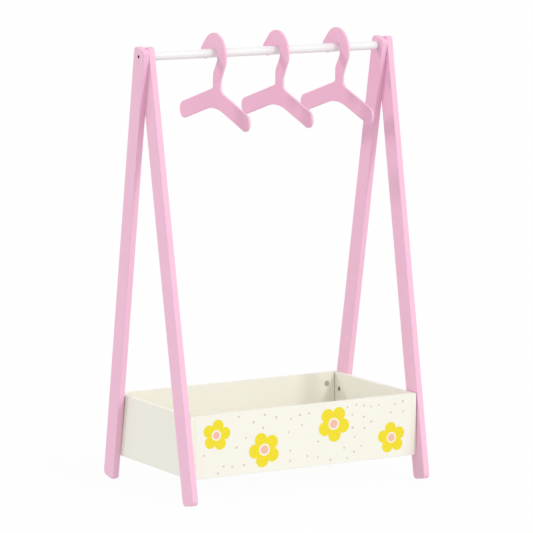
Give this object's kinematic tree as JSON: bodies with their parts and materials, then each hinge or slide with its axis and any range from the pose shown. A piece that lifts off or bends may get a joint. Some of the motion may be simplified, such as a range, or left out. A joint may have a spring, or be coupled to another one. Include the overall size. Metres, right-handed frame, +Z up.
{
  "type": "kids clothing rack",
  "caption": "Low wooden clothes rack for a child: splayed leg pairs carry a round hanging rail with flat hangers, above an open storage box with a printed front.",
  "frame": {"origin": "on the floor, below the middle of the rail and of the box", "axes": "+X along the rail, to the right as seen from the printed front; +Y to the back; +Z up"},
  "size_m": [0.6614, 0.4318, 1.0484],
  "materials": {
    "leg_paint": "satin pink paint",
    "board_cream": "satin cream paint",
    "board_print": "cream with a printed face",
    "board_bottom": "satin cream paint",
    "rail_paint": "satin white paint",
    "hanger_paint": "satin pink paint",
    "bolt_black": "black oxide",
    "insert_brass": "plain",
    "cam_zinc": "cast zinc",
    "cam_bolt_steel": "zinc plated",
    "dowel_wood": "bare beech"
  },
  "bodies": {
    "rack": {"left_front_leg": "leg_paint", "left_rear_leg": "leg_paint", "right_front_leg": "leg_paint", "right_rear_leg": "leg_paint", "box_left_end_panel": "board_cream", "box_right_end_panel": "board_cream", "box_back_panel": "board_cream", "box_front_panel": "board_print", "box_bottom_panel": "board_bottom", "hanging_rail": "rail_paint", "left_rail_bolt": "bolt_black", "left_leg_bolts": "bolt_black", "left_rail_insert": "insert_brass", "left_leg_inserts": "insert_brass", "right_rail_bolt": "bolt_black", "right_leg_bolts": "bolt_black", "right_rail_insert": "insert_brass", "right_leg_inserts": "insert_brass", "cam_locks": "cam_zinc", "cam_bolts": "cam_bolt_steel", "corner_dowels": "dowel_wood"},
    "left_hanger": {"hanger_left": "hanger_paint"},
    "middle_hanger": {"hanger_middle": "hanger_paint"},
    "right_hanger": {"hanger_right": "hanger_paint"}
  },
  "joints": [
    {"name": "left_hanger_swing", "type": "hinge", "parent": "rack", "child": "left_hanger", "pos_m": [-0.1331, 0, 0.9973], "axis": [1, 0, 0], "range_deg": [-60, 60]},
    {"name": "middle_hanger_swing", "type": "hinge", "parent": "rack", "child": "middle_hanger", "pos_m": [0.0315, 0, 0.9973], "axis": [1, 0, 0], "range_deg": [-60, 60]},
    {"name": "right_hanger_swing", "type": "hinge", "parent": "rack", "child": "right_hanger", "pos_m": [0.1928, 0, 0.9973], "axis": [1, 0, 0], "range_deg": [-60, 60]}
  ]
}
